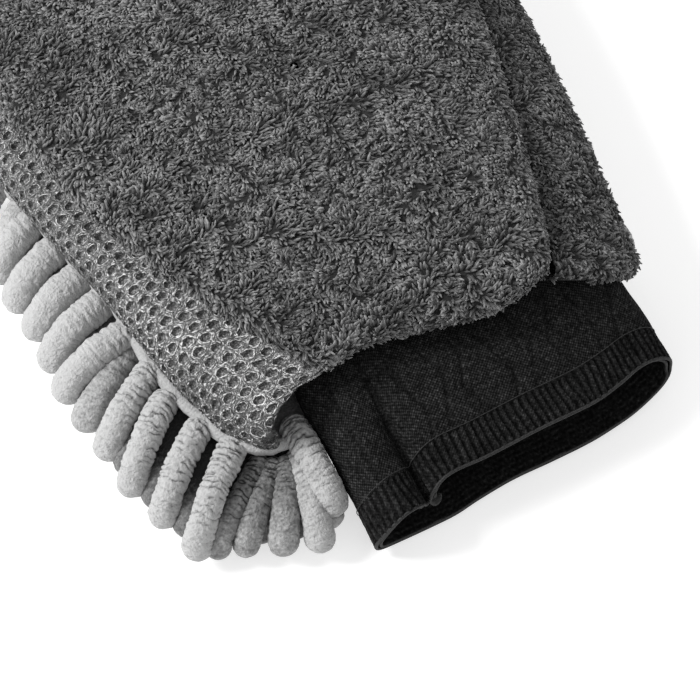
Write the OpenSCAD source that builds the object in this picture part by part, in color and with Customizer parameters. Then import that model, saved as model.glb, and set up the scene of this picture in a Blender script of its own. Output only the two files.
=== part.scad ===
// Wash mitt: a boxed fleece and chenille mitt with a mesh side and a knitted cuff.
// Millimetres. +Y runs from the cuff to the fingertips, +Z is up, and the chenille
// side lies on the plane z = 0. The mesh side is at -X and the fleece side at +X.

/* [Body] */
// Length of the body from its front edge to its tip
body_l = 207; // [195:1:215]
// Widest half width of the body
half_w = 87; // [84:1:90]
// Half width of the body at its front edge
front_half_w = 64; // [63:1:67]
// Distance from the front edge to the widest place
shoulder_l = 130; // [125:1:135]
// Thickness of the chenille pile, up to the base cloth
pile_h = 18; // [18:0.5:19]
// Thickness of the base cloth that holds the chenille
base_t = 2.5; // [2:0.1:2.5]
// Height of the edge of the top panel
edge_z = 39.2; // [39.2:0.1:41]
// Rise of the top panel from its edge to its middle
crown = 7; // [4:0.5:10]
// Thickness of the fleece, its pile included
fleece_t = 8; // [6:0.5:8.5]
// Thickness of the spacer mesh
mesh_t = 4; // [3:0.5:5]

/* [Hand pocket] */
// Height of the side seams of the lining
pocket_z = 28; // [27:0.5:29]
// Thickness of the lining
lining_t = 0.9; // [0.6:0.1:1]

/* [Cuff] */
// Width of the cuff
cuff_w = 100; // [97:1:100]
// Height of the open cuff, across its axis
cuff_h = 21; // [19:0.5:21]
// Distance of the cuff's rim in front of the body
cuff_reach = 40; // [36:1:42]
// Slope of the cuff down to the surface it lies on
cuff_tilt = 18.7; // [17:0.1:18.7]
// Thickness of one ply of the knit
knit_t = 1.2; // [1:0.1:1.4]
// Width of the hem at the rim
hem_w = 12.5; // [10:0.5:15]

/* [Chenille] */
// Diameter of one chenille strand
strand_d = 9.5; // [8.5:0.1:9.5]
// Distance between rows, and between strands in a row
pitch = 12.5; // [12.5:0.1:13]
// Sideways reach of the strands at the mesh side
edge_run = 34; // [28:1:35]

/* [Hidden] */
ROWS = 11;

// The origin is under the middle of the bounding box, this far from the middle of
// the cuff and from the front edge of the body.
mid_x = -3.72;
mid_y = 89.69;

base_top = pile_h + base_t;
tip_power = 2.6;
clear = 0.25;
seam_r = 0.8;

// The top panel is this much smaller than the body, and narrower at the front
inset_mesh = 9;
inset_fleece = 13;
front_mesh = 42;
front_fleece = 35;

// Flex gap between the cuff and the seam that holds it
cuff_root_y = 5;
cuff_root_z = 26.6;
wrist_y = 11.2;
wrist_t = 2;
pocket_y = wrist_y + wrist_t + 0.4;
pocket_l = body_l - 22;

// ---- outlines, seen from above ----

// Place on an outline: u is 0 at the front edge and 1 at the tip. The sides widen
// from the front to the shoulders, and a rounded tip follows.
function outline(u, front, wide, bow, l) = u < 0.6
    ? let (y = shoulder_l * u / 0.6)
        [front + (wide - front) * (1 - pow(1 - y / shoulder_l, bow)), y]
    : let (a = 90 * min(u - 0.6, 0.3995) / 0.4)
        [wide * pow(cos(a), 2 / tip_power),
         shoulder_l + (l - shoulder_l) * pow(sin(a), 2 / tip_power)];

function body_edge(u) = outline(u, front_half_w, half_w, 1.35, body_l);
function top_edge(u, sign) = sign < 0
    ? outline(u, front_mesh, half_w - inset_mesh, 2.5, body_l - inset_mesh)
    : outline(u, front_fleece, half_w - inset_fleece, 1.3, body_l - inset_fleece + 2);

// Direction straight out from the body's edge
function outward(u) = let (
    d = body_edge(min(u + 0.002, 0.998)) - body_edge(max(0, min(u, 0.996) - 0.002)))
    [d[1], -d[0]] / norm(d);

// Shares of the way round a side, closer together round the tip
function stations(n) = [for (i = [0:n]) let (t = i / n)
    t < 0.5 ? 1.2 * t : 0.6 + 0.3995 * sin(180 * (t - 0.5))];

// ---- solids from rings of points ----

// A closed solid through rings that all have the same number of points
module skin(rings) {
    n = len(rings[0]);
    m = len(rings);
    points = [for (r = rings) for (p = r) p];
    sides = [for (i = [0:m - 2]) for (j = [0:n - 1]) let (
        a = i * n + j,
        b = i * n + (j + 1) % n)
        each [[a, b, b + n], [a, b + n, a + n]]];
    first = [for (j = [n - 1:-1:0]) j];
    last = [for (j = [0:n - 1]) (m - 1) * n + j];
    polyhedron(points, concat([first], sides, [last]));
}

function reversed(ring) = [for (i = [len(ring) - 1:-1:0]) ring[i]];

// A round cord along a list of points that doesn't run straight up
module cord(path, r) {
    n = len(path);
    skin([for (i = [0:n - 1]) let (
        d = path[min(i + 1, n - 1)] - path[max(i - 1, 0)],
        side = cross(d, [0, 0, 1]) / norm(cross(d, [0, 0, 1])),
        up = cross(side, d) / norm(d))
        [for (a = [0:45:315]) path[i] + r * (cos(a) * side + sin(a) * up)]]);
}

module in_frame() {
    translate([-mid_x, -mid_y, 0]) children();
}

// ---- top panel ----

// The panel's outline, from its front right corner by the tip to its front left
function top_outline() = let (us = stations(20)) concat(
    [for (u = us) top_edge(u, 1)],
    [for (i = [20:-1:0]) let (p = top_edge(us[i], -1)) [-p[0], p[1]]],
    [for (i = [1:6]) let (t = i / 7)
        [-front_mesh + t * (front_mesh + front_fleece), -3.5 * sin(180 * t)]]);

module top_panel() {
    mid = [0, 92];
    outline = top_outline();
    thick = fleece_t + 1.2;
    // Share of the outline, and height above the edge
    profile = [[0.02, thick], [0.35, thick], [0.65, thick], [0.85, thick - 0.4],
               [0.94, thick - 1.6], [0.985, thick - 3.6], [1, thick - 5.6],
               [0.985, 1], [0.95, 0], [0.6, 0], [0.02, 0]];
    color("dimgray")
    in_frame()
    skin([for (p = profile) reversed([for (q = outline)
        [mid[0] + p[0] * (q[0] - mid[0]), mid[1] + p[0] * (q[1] - mid[1]),
         edge_z + p[1] + crown * (1 - pow(p[0], 2.4))]])]);
}

// ---- side panels ----

// Point on a cubic curve through four control points
function cubic(p, t) = pow(1 - t, 3) * p[0] + 3 * pow(1 - t, 2) * t * p[1]
    + 3 * (1 - t) * t * t * p[2] + pow(t, 3) * p[3];

// A place on a side: k mm outward from share g of the way from the top panel's edge
// to the body's edge, at height z
function side_point(u, sign, g, k, z) = let (
    top = top_edge(u, sign),
    low = body_edge(u),
    p = top + g * (low - top) + k * outward(u))
    [sign * p[0], p[1], z];

// Cross-section of a side panel of thickness t that bulges by b
function side_ring(u, sign, t, b) = let (
    high = edge_z - clear,
    low = base_top + clear,
    outer = [side_point(u, sign, 0, 0, high),
             side_point(u, sign, 0.5, b, high - 1),
             side_point(u, sign, 1, 1.5 + b, low + 9),
             side_point(u, sign, 1, -2.5, low)],
    inner = [side_point(u, sign, 0, -t, high),
             side_point(u, sign, 0.5, b - 1.5 - t, high - t - 1),
             side_point(u, sign, 1, b - t, low + 7),
             side_point(u, sign, 1, -2.5 - t, low)])
    concat([for (i = [0:6]) cubic(outer, i / 6)],
           [for (i = [6:-1:0]) cubic(inner, i / 6)]);

// Sign -1 is the mesh side. The cloth is thinner at the front, and makes room for
// the cuff and for the seam that holds it.
module side_panel(sign, t, b) {
    in_frame()
    difference() {
        skin([for (u = stations(24))
            let (ring = side_ring(u, sign, 3.5 + (t - 3.5) * min(1, u / 0.18), b))
            sign > 0 ? reversed(ring) : ring]);
        translate([0, pocket_y + 1, cuff_root_z]) rotate([90, 0, 0])
        linear_extrude(pocket_y + 10) flat_round(cuff_w + 1.6, cuff_h + 5);
    }
}

module fleece_side_panel() {
    color("dimgray") side_panel(1, fleece_t, 3);
}

module mesh_side_panel() {
    color("gray") side_panel(-1, mesh_t, 1.5);
}

// ---- base cloth ----

module chenille_base_cloth() {
    us = stations(30);
    right = [for (u = us) body_edge(u) + outward(u)];
    color("lightgray")
    in_frame() translate([0, 0, pile_h]) linear_extrude(base_t)
    difference() {
        polygon(concat(right, [for (i = [30:-1:0]) [-right[i][0], right[i][1]]]));
        // Room in front for the cuff
        translate([-cuff_w / 2 - 1, -2]) square([cuff_w + 2, wrist_y + 1]);
    }
}

// ---- lining ----

// Half width of the hand pocket at a distance from the front edge
function pocket(y) = let (past = max(0, y - 115) / (pocket_l - 115))
    min(front_half_w - 14 + 0.2 * y, cuff_w / 2 - 4 + 0.55 * (y - pocket_y))
    * pow(max(0, 1 - pow(past, tip_power)), 1 / tip_power);

// One half of the lining. It bows by h at its middle, and a high power makes it flat.
module lining(h, power) {
    n = 12;
    way = h > 0 ? 1 : -1;
    // Points from one side seam to the other, closer together at the seams
    shares = [for (i = [0:n]) -cos(180 * i / n)];
    in_frame()
    skin([for (k = [0:15]) let (
        y = pocket_y + (pocket_l - pocket_y) * sin(90 * k / 15) * 0.997,
        w = pocket(y),
        bow = h * min(1, w / 25),
        near = [for (s = shares) pocket_z + way * 0.15 + bow * (1 - pow(abs(s), power))],
        ring = concat([for (i = [0:n]) [shares[i] * w, y, near[i]]],
            [for (i = [n:-1:0]) [shares[i] * w, y, near[i] + way * lining_t]]))
        way > 0 ? ring : reversed(ring)]);
}

module back_lining() {
    color("black") lining(edge_z - pocket_z - lining_t - 1.2, 3.5);
}

module palm_lining() {
    color("black") lining(base_top - pocket_z + lining_t + 0.5, 6);
}

// ---- seams of the body ----

module side_seam(sign, t, g, z) {
    color("darkslategray")
    in_frame()
    cord([for (u = stations(30)) if (u > 0.08) side_point(u, sign, g, -t, z)], seam_r);
}

module mesh_top_seam() {
    side_seam(-1, mesh_t + 2.2, 0, edge_z - 1.6);
}

module mesh_bottom_seam() {
    side_seam(-1, mesh_t + 5, 1, base_top + 1.1);
}

module fleece_top_seam() {
    side_seam(1, fleece_t + 2.2, 0, edge_z - 1.6);
}

module fleece_bottom_seam() {
    side_seam(1, fleece_t + 5, 1, base_top + 1.1);
}

// ---- cuff ----

// A flat shape with round ends, w wide and h high
module flat_round(w, h) {
    translate([-(w - h) / 2, 0]) circle(d = h, $fn = 64);
    translate([(w - h) / 2, 0]) circle(d = h, $fn = 64);
    square([w - h, h], center = true);
}

// A flat tube whose wall starts an inset inside the cuff's outside and is t thick
module flat_tube(inset, t) {
    linear_extrude(cuff_reach + 30)
    difference() {
        flat_round(cuff_w - 2 * inset, cuff_h - 2 * inset);
        flat_round(cuff_w - 2 * (inset + t), cuff_h - 2 * (inset + t));
    }
}

// Lays what rises along +Z so that it runs forward and down from the wrist, and keeps
// what lies from one distance in front of the body to another
module along_cuff(from, to) {
    in_frame()
    intersection() {
        translate([0, cuff_root_y, cuff_root_z]) rotate([90 + cuff_tilt, 0, 0])
        translate([0, 0, -10]) children();
        translate([-cuff_w, -to, -10]) cube([2 * cuff_w, to - from, 80]);
    }
}

rim_t = 1.6;
rim_y = cuff_reach - rim_t;

module cuff_outer_ply() {
    color("black") along_cuff(-cuff_root_y, rim_y) flat_tube(0, knit_t);
}

module cuff_inner_ply() {
    color("black") along_cuff(-cuff_root_y, rim_y) flat_tube(knit_t + 1, knit_t);
}

module cuff_elastic_band() {
    color("dimgray") along_cuff(cuff_reach - hem_w + 1, rim_y - 1)
    flat_tube(knit_t + 0.1, 0.8);
}

module cuff_rim_edge() {
    color("black") along_cuff(rim_y, cuff_reach) flat_tube(0, 2 * knit_t + 1);
}

module cuff_hem_stitching() {
    color("black") along_cuff(cuff_reach - hem_w, cuff_reach - hem_w + 0.8)
    flat_tube(-0.45, 0.4);
}

// The allowance of the seam that closes the knit tube, inside the inner ply
module cuff_side_seam() {
    color("black") along_cuff(-cuff_root_y, rim_y - 0.5)
    translate([-33, cuff_h / 2 - 2 * knit_t - 2.6, 0]) cube([2.4, 1.5, cuff_reach + 30]);
}

// The ring of folded edges where cuff, lining and panels are sewn together
module wrist_seam_allowance() {
    color("darkslategray")
    in_frame() translate([0, wrist_y + wrist_t, base_top + 8.3]) rotate([90, 0, 0])
    linear_extrude(wrist_t)
    difference() {
        flat_round(cuff_w - 4, 16.5);
        flat_round(cuff_w - 8, 12.5);
    }
}

// ---- chenille ----

strand_r = strand_d / 2;
root_z = pile_h - strand_r + 1.2;
end_z = strand_r - 0.6;

// One strand that leans by side from its root at p: a revolved bar with round ends
module strand(p, side) {
    d = [side[0], side[1], end_z - root_z];
    l = norm(d);
    translate([p[0], p[1], root_z]) rotate([0, acos(d[2] / l), atan2(d[1], d[0])])
    rotate_extrude($fn = 22)
    intersection() {
        union() {
            circle(strand_r, $fn = 22);
            translate([0, l]) circle(strand_r, $fn = 22);
            translate([-strand_r, 0]) square([2 * strand_r, l]);
        }
        translate([0, -strand_r]) square([strand_r, l + 2 * strand_r]);
    }
}

// Makes strands flat where they are sewn to the cloth and where they lie on z = 0
module trimmed() {
    color("silver")
    in_frame()
    intersection() {
        children();
        translate([-2 * half_w, -half_w, 0]) cube([4 * half_w, 2 * body_l, pile_h]);
    }
}

// The line of the outermost roots, and how far along it each of its points is
edge_us = stations(60);
function edge_root(u) = body_edge(u) - (strand_r - 0.5) * outward(u);
edge_line = [for (u = edge_us) edge_root(u)];
edge_at = [for (i = 0, s = 0; i < len(edge_line);
    s = s + (i + 1 < len(edge_line) ? norm(edge_line[i + 1] - edge_line[i]) : 0), i = i + 1) s];

// Share round the side of the place this far along the line of outermost roots
function edge_share(s) = lookup(s, [for (i = [0:60]) [edge_at[i], edge_us[i]]]);

// An outermost strand, swept back toward the cuff. They fan out round the front
// corner and the tip.
module edge_strand(s, sign) {
    u = edge_share(s);
    root = edge_root(u);
    swept = sign < 0 ? 32 * min(1, 2 * (1 - u)) + 14 * max(0, 1 - s / 40) : 35 * (1 - u);
    reach = sign < 0 ? edge_run - 26 * u : 8 + 4 * u * u;
    a = atan2(outward(u)[1], outward(u)[0]) - swept;
    strand([sign * root[0], root[1]], [sign * reach * cos(a), reach * sin(a)]);
}

// The strand at the front corner stands beside the cuff
module chenille_edge(sign, corner_lean) {
    trimmed() {
        strand([sign * (cuff_w / 2 + 6.2), 4.3], corner_lean);
        for (s = [15:pitch:edge_at[60] - (sign > 0 ? 4 : 8)]) {
            edge_strand(s, sign);
        }
    }
}

module chenille_edge_mesh_side() {
    chenille_edge(-1, [1.2, -24]);
}

module chenille_edge_fleece_side() {
    chenille_edge(1, [0.3, -3]);
}

// Distance from a place to the line of the outermost roots, negative outside it
function edge_room(x, y) = let (
    half = lookup(y, [for (p = edge_line) [p[1], p[0]]]),
    room = min([for (p = edge_line) norm([abs(x), y] - p)]))
    abs(x) < half && y < edge_line[60][1] ? room : -room;

// One row of strands along the mitt, inside the outermost ones. All lean one way.
module chenille_row(i) {
    x = (i - (ROWS + 1) / 2) * pitch;
    trimmed()
    for (y = [cuff_root_y + 8 + (i % 2) * pitch / 2:pitch:body_l]) {
        if (edge_room(x, y) > 11.6 && (abs(x) > cuff_w / 2 + 3 || y > wrist_y + 7)) {
            strand([x, y], [-5, -4.5]);
        }
    }
}

top_panel();
fleece_side_panel();
mesh_side_panel();
chenille_base_cloth();
back_lining();
palm_lining();
mesh_top_seam();
mesh_bottom_seam();
fleece_top_seam();
fleece_bottom_seam();
wrist_seam_allowance();
cuff_outer_ply();
cuff_inner_ply();
cuff_elastic_band();
cuff_rim_edge();
cuff_hem_stitching();
cuff_side_seam();
chenille_edge_mesh_side();
chenille_edge_fleece_side();
chenille_row(1);  // chenille_row_01
chenille_row(2);  // chenille_row_02
chenille_row(3);  // chenille_row_03
chenille_row(4);  // chenille_row_04
chenille_row(5);  // chenille_row_05
chenille_row(6);  // chenille_row_06
chenille_row(7);  // chenille_row_07
chenille_row(8);  // chenille_row_08
chenille_row(9);  // chenille_row_09
chenille_row(10);  // chenille_row_10
chenille_row(11);  // chenille_row_11
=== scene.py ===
"""Looks of the wash mitt: fleece top and side, mesh side, chenille underside, knit cuff.

Lengths are in millimetres. x is 0 in the middle of the cuff and y is 0 at the front
edge of the body. The cuff reaches forward to y = -40, and z = 0 is the surface below.
"""

import math

import bpy
import numpy as np
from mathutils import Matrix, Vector


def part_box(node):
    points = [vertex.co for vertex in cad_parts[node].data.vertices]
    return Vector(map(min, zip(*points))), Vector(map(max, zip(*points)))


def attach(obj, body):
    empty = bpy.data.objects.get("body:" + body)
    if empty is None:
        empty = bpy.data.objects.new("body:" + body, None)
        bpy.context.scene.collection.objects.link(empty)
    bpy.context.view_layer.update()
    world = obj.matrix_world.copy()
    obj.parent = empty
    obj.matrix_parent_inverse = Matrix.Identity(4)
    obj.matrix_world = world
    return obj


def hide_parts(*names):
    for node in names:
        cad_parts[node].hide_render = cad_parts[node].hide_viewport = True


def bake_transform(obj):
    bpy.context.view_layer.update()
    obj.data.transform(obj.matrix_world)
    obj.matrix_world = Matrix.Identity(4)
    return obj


# ---- sizes of the body, most of them as in the CAD part ----
# Distance from the front edge to the tip, and to the widest place
BODY_L = 207.0
SHOULDER_L = 130.0
# Half width at the widest place and at the front edge
HALF_W = 87.0
FRONT_HALF_W = 64.0
# Height of the top panel's edge, its rise to the middle and its thickness
EDGE_Z = 39.2
CROWN = 7.0
PANEL_T = 9.2
# Depth of the fleece's cloth under the face of its pile
PILE_LIFT = 1.7
# Top of the cloth that holds the chenille, and the middle of its rolled edge
CLOTH_TOP = 20.5
CLOTH_Z = 18.6
# Roundness of the tip: 2 would be an ellipse
TIP_POWER = 2.6
# Share of the way round a side at which the shoulder is, and the share past it in use
SHOULDER_U = 0.6
TIP_SHARE = 0.3995
# Distance between rows of chenille strands, and between strands in a row
STRAND_PITCH = 12.5

# Size of the cuff's knitted pattern round the cuff and along it
STITCH_W = 1.15
STITCH_L = 1.0

UP = np.array([0.0, 0.0, 1.0])


# ---- numbers and lines ----


def lattice(i, j, k, seed):
    """A fixed random number from -1 to 1 for each whole-numbered place."""
    h = (i * 374761393 + j * 668265263 + k * 2147483647 + seed * 1274126177) & 0xFFFFFFFF
    h = ((h ^ (h >> 13)) * 1274126177) & 0xFFFFFFFF
    h = h ^ (h >> 16)
    return (h & 0xFFFF) / 32767.5 - 1


def noise(p, cell, seed):
    """Smooth numbers from -1 to 1 at points p, with features about a cell apart."""
    q = np.asarray(p, float) / cell
    low = np.floor(q).astype(np.int64)
    f = q - low
    f = f * f * (3 - 2 * f)
    total = np.zeros(q.shape[:-1])
    for corner in np.ndindex(2, 2, 2):
        share = np.where(corner, f, 1 - f).prod(-1)
        total += share * lattice(*np.moveaxis(low + corner, -1, 0), seed)
    return total


def unit(v):
    """Vectors scaled to length 1."""
    return v / np.maximum(np.linalg.norm(v, axis=-1, keepdims=True), 1e-9)


def step(x, low, high):
    """0 below low, 1 above high, and a smooth rise between."""
    t = np.clip((x - low) / (high - low), 0, 1)
    return t * t * (3 - 2 * t)


def distances(path):
    """Distance along a path, at each of its points."""
    lengths = np.linalg.norm(np.diff(path, axis=0), axis=1)
    return np.concatenate([[0], np.cumsum(lengths)])


def level(xy, z):
    """Points of a flat line, all at height z."""
    return np.hstack([xy, np.full((len(xy), 1), z)])


def point_at(line, at, s):
    """The point of a line at distance s along it, where at are its points' distances."""
    return np.array([np.interp(s, at, x) for x in line.T])


def even_loop(corners, n):
    """n evenly spaced points round a closed loop, and its length."""
    closed = np.concatenate([corners, corners[:1]])
    at = distances(closed)
    return point_at(closed, at, np.linspace(0, at[-1], n + 1)[:-1]).T, at[-1]


def cubic(p0, p1, p2, p3, t):
    """Points of a cubic curve at shares t of its way."""
    return (1 - t) ** 3 * p0 + 3 * (1 - t) ** 2 * t * p1 + 3 * (1 - t) * t * t * p2 + t ** 3 * p3


def turns(n):
    """n angles evenly spaced round a circle."""
    return np.linspace(0, 2 * math.pi, n, endpoint=False)


def circles(way, up, sides):
    """A circle of unit vectors across each direction in way."""
    side = unit(np.cross(way, up))[:, None]
    over = np.cross(side, way[:, None])
    a = turns(sides)[None, :, None]
    return np.cos(a) * side - np.sin(a) * over


# ---- meshes ----


def grid_faces(rows, columns, closed=False):
    """Quads between the points of a grid. Closed joins the two ends of each row."""
    i = np.arange(rows - 1)[:, None]
    j = np.arange(columns if closed else columns - 1)[None, :]
    a = i * columns + j
    b = i * columns + (j + 1) % columns
    return np.stack([a, b, b + columns, a + columns], -1).reshape(-1, 4)


def repeated(faces, count, size):
    """The same faces once for each of count shapes, which have size points each."""
    starts = np.arange(count) * size
    return (faces[None] + starts[:, None, None]).reshape(-1, faces.shape[1])


def grid_normals(p, closed=False):
    """Unit normals of a grid of points."""
    if closed:
        across = np.roll(p, -1, 1) - np.roll(p, 1, 1)
    else:
        across = np.gradient(p, axis=1)
    return unit(np.cross(across, np.gradient(p, axis=0)))


def piece(name, points, faces, finish, values=None):
    """A smooth mesh object from points and an array of quads or triangles."""
    world = np.asarray(points, float).reshape(-1, 3) * 0.001 + ORIGIN
    mesh = bpy.data.meshes.new(name)
    mesh.vertices.add(len(world))
    mesh.vertices.foreach_set("co", world.astype(np.float32).ravel())
    mesh.loops.add(faces.size)
    mesh.loops.foreach_set("vertex_index", faces.astype(np.int32).ravel())
    mesh.polygons.add(len(faces))
    starts = np.arange(0, faces.size, faces.shape[1], dtype=np.int32)
    mesh.polygons.foreach_set("loop_start", starts)
    mesh.update(calc_edges=True)
    mesh.validate()
    mesh.polygons.foreach_set("use_smooth", np.ones(len(mesh.polygons), bool))
    for key, v in (values or {}).items():
        layer = mesh.attributes.new(key, "FLOAT", "POINT")
        layer.data.foreach_set("value", np.asarray(v, np.float32).ravel())
    mesh.materials.append(finish)
    obj = bpy.data.objects.new(name, mesh)
    bpy.context.scene.collection.objects.link(obj)
    return obj


def bundle(name, finish, grids, closed=True):
    """One piece made of several grids, from a list of (grid, shade)."""
    points = [grid.reshape(-1, 3) for grid, _ in grids]
    shades = [np.broadcast_to(shade, grid.shape[:2]).ravel() for grid, shade in grids]
    starts = np.cumsum([0, *map(len, points)])
    faces = [grid_faces(*grid.shape[:2], closed) + k for (grid, _), k in zip(grids, starts)]
    return piece(name, np.concatenate(points), np.concatenate(faces), finish,
                 {"shade": np.concatenate(shades)})


def in_cell(grid, i, j, s, t):
    """Values of a grid inside cells i, j: s is the share along the row, t to the next."""
    near = grid[i, j] * (1 - s) + grid[i, j + 1] * s
    far = grid[i + 1, j] * (1 - s) + grid[i + 1, j + 1] * s
    return near * (1 - t) + far * t


def scatter(p, density, rng, closed=False):
    """Random places on a grid surface, as many per square millimetre as density says.

    Gives each place's point and its normal."""
    n = grid_normals(p, closed)
    if closed:
        p = np.hstack([p, p[:, :1]])
        n = np.hstack([n, n[:, :1]])
    a, b, c, d = p[:-1, :-1], p[:-1, 1:], p[1:, 1:], p[1:, :-1]
    area = np.linalg.norm(np.cross(c - a, d - b), axis=-1) / 2
    count = rng.poisson(area * density)
    i, j = np.nonzero(count)
    i = np.repeat(i, count[count > 0])
    j = np.repeat(j, count[count > 0])
    s = rng.random((len(i), 1))
    t = rng.random((len(i), 1))
    return in_cell(p, i, j, s, t), unit(in_cell(n, i, j, s, t))


# ---- materials ----


def grey(v):
    """An opaque grey."""
    return (v, v, v, 1)


def set_inputs(node, values):
    """Sets plain values of a node's sockets, by name."""
    for name, value in values.items():
        node.inputs[name].default_value = value


def new_material(name, value, roughness, sheen=0.0, shine=0.15):
    """A grey material with plain values for its roughness, sheen and shine."""
    made = bpy.data.materials.new(name)
    made.use_nodes = True
    shader = made.node_tree.nodes["Principled BSDF"]
    set_inputs(shader, {"Base Color": grey(value), "Roughness": roughness,
                        "Sheen Weight": sheen, "Specular IOR Level": shine})
    return made, made.node_tree, shader


def shade_noise(tree, scale, detail):
    """A noise texture fixed to the object, with scale in features per metre."""
    place = tree.nodes.new("ShaderNodeTexCoord")
    made = tree.nodes.new("ShaderNodeTexNoise")
    set_inputs(made, {"Scale": scale, "Detail": detail})
    tree.links.new(place.outputs["Object"], made.inputs["Vector"])
    return made.outputs["Fac"]


def shade_greys(tree, shader, source, stops):
    """Colours the surface by a number, from a list of (number, grey value)."""
    ramp = tree.nodes.new("ShaderNodeValToRGB")
    marks = ramp.color_ramp.elements
    for k in (0, -1):
        marks[k].position = stops[k][0]
        marks[k].color = grey(stops[k][1])
    for at, value in stops[1:-1]:
        marks.new(at).color = grey(value)
    tree.links.new(source, ramp.inputs["Fac"])
    tree.links.new(ramp.outputs["Color"], shader.inputs["Base Color"])


def shade_attribute(tree, name):
    """A number stored on the mesh's points."""
    made = tree.nodes.new("ShaderNodeAttribute")
    made.attribute_name = name
    return made.outputs["Fac"]


def shade_bump(tree, shader, source, distance, strength):
    """Bumps on the surface, distance metres high."""
    bump = tree.nodes.new("ShaderNodeBump")
    set_inputs(bump, {"Distance": distance, "Strength": strength})
    tree.links.new(source, bump.inputs["Height"])
    tree.links.new(bump.outputs["Normal"], shader.inputs["Normal"])


def shade_math(tree, operation, a, b):
    """One operation on two numbers. b may be a plain number, and some use only a."""
    made = tree.nodes.new("ShaderNodeMath")
    made.operation = operation
    tree.links.new(a, made.inputs[0])
    if isinstance(b, (int, float)):
        made.inputs[1].default_value = b
    else:
        tree.links.new(b, made.inputs[1])
    return made.outputs[0]


def shade_wave(tree, source, period):
    """A sine wave of a number, one turn for each period of it."""
    return shade_math(tree, "SINE", shade_math(tree, "MULTIPLY", source, 2 * math.pi / period), 0.5)


def shade_sum(tree, offset, parts):
    """The mesh's own shade plus each (number, weight) in parts, less an offset."""
    total = shade_attribute(tree, "shade")
    for source, weight in parts:
        total = shade_math(tree, "ADD", total, shade_math(tree, "MULTIPLY", source, weight))
    return shade_math(tree, "SUBTRACT", total, offset) if offset else total


def fibre_finish(material, scale, detail, weight, offset, stops, height, strength):
    """A surface of fibres: the mesh's own shade with fine noise over it, and bumps.

    weight says how much the noise counts, height and strength how high it stands."""
    made, tree, shader = material
    fine = shade_noise(tree, scale, detail)
    shade_greys(tree, shader, shade_sum(tree, offset, [(fine, weight)]), stops)
    shade_bump(tree, shader, fine, height, strength)
    return made


def fleece_finish():
    """Dark grey locks, with painted shade that makes them darker down between them."""
    stops = [(0.15, 0.005), (0.46, 0.03), (0.75, 0.122), (1.0, 0.28)]
    return fibre_finish(new_material("fleece", 0.09, 0.9, 0.25),
                        1800, 3, 0.35, 0.0, stops, 0.0004, 0.8)


def chenille_finish():
    """Pale grey chenille with a short nap."""
    stops = [(0.05, 0.025), (0.4, 0.22), (0.62, 0.42), (1.0, 0.5)]
    return fibre_finish(new_material("chenille", 0.5, 0.95, 0.2),
                        1300, 4, 0.42, 0.06, stops, 0.001, 0.8)


def mesh_finish():
    """The spacer mesh's knitted face: mid grey, with much fine contrast."""
    stops = [(0.3, 0.03), (0.55, 0.1), (0.8, 0.26), (1.0, 0.6)]
    return fibre_finish(new_material("spacer_mesh", 0.2, 0.6, 0.1),
                        2300, 1, 1.3, 0.55, stops, 0.0003, 0.7)


def filament_finish():
    """Bright smooth filaments of the spacer mesh."""
    made, tree, shader = new_material("filament", 0.5, 0.35, shine=0.5)
    stops = [(0.0, 0.06), (0.5, 0.3), (1.0, 0.95)]
    shade_greys(tree, shader, shade_attribute(tree, "shade"), stops)
    return made


def knit_finish():
    """Nearly black fine knit, whose stitches lie in rows round the cuff."""
    made, tree, shader = new_material("cuff_knit", 0.014, 0.85, shine=0.04)
    across = shade_wave(tree, shade_attribute(tree, "around"), STITCH_W)
    along = shade_wave(tree, shade_attribute(tree, "along"), STITCH_L)
    stitch = shade_math(tree, "MULTIPLY", across, along)
    stitch = shade_math(tree, "MULTIPLY", stitch, shade_attribute(tree, "stitched"))
    fine = shade_noise(tree, 1150, 3)
    patch = shade_noise(tree, 260, 2)
    shade = shade_sum(tree, 0.44, [(stitch, 0.22), (fine, 1.25), (patch, 0.15)])
    stops = [(0.2, 0.002), (0.5, 0.009), (0.75, 0.024), (1.0, 0.075)]
    shade_greys(tree, shader, shade, stops)
    shade_bump(tree, shader, stitch, 0.0002, 0.6)
    return made


def edge_finish():
    """The lighter thread of the cuff's rim and hem."""
    made, tree, shader = new_material("cuff_edge", 0.04, 0.6)
    shade_greys(tree, shader, shade_noise(tree, 2500, 2), [(0.3, 0.014), (0.7, 0.04)])
    return made


def cloth_finish(name, value, scale):
    """Plain woven cloth."""
    made, tree, shader = new_material(name, value, 0.9, shine=0.08)
    weave = shade_noise(tree, scale, 3)
    shade_greys(tree, shader, weave, [(0.3, value * 0.75), (0.7, value * 1.25)])
    shade_bump(tree, shader, weave, 0.0003, 0.5)
    return made


# ---- outlines of the body, seen from above ----


def outline(u, front, wide, power, length):
    """Half width and distance along, at share u of the way from the front to the tip.

    front and wide are half widths, and power says how early the side widens."""
    u = np.asarray(u, float)
    y = SHOULDER_L * np.minimum(u, SHOULDER_U) / SHOULDER_U
    side_x = front + (wide - front) * (1 - (1 - y / SHOULDER_L) ** power)
    a = np.radians(90 * np.clip(u - SHOULDER_U, 0, TIP_SHARE) / (1 - SHOULDER_U))
    tip_x = wide * np.cos(a) ** (2 / TIP_POWER)
    tip_y = SHOULDER_L + (length - SHOULDER_L) * np.sin(a) ** (2 / TIP_POWER)
    x = np.where(u < SHOULDER_U, side_x, tip_x)
    return np.stack([x, np.where(u < SHOULDER_U, y, tip_y)], -1)


def body_edge(u):
    """The body's edge, the same at both sides."""
    return outline(u, FRONT_HALF_W, HALF_W, 1.35, BODY_L)


def top_edge(u, sign):
    """Edge of the top panel: sign is -1 at the mesh side and 1 at the fleece side."""
    if sign < 0:
        return outline(u, 44, HALF_W - 5, 1.9, BODY_L - 9)
    return outline(u, 35, HALF_W - 13, 1.3, BODY_L - 11)


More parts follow.
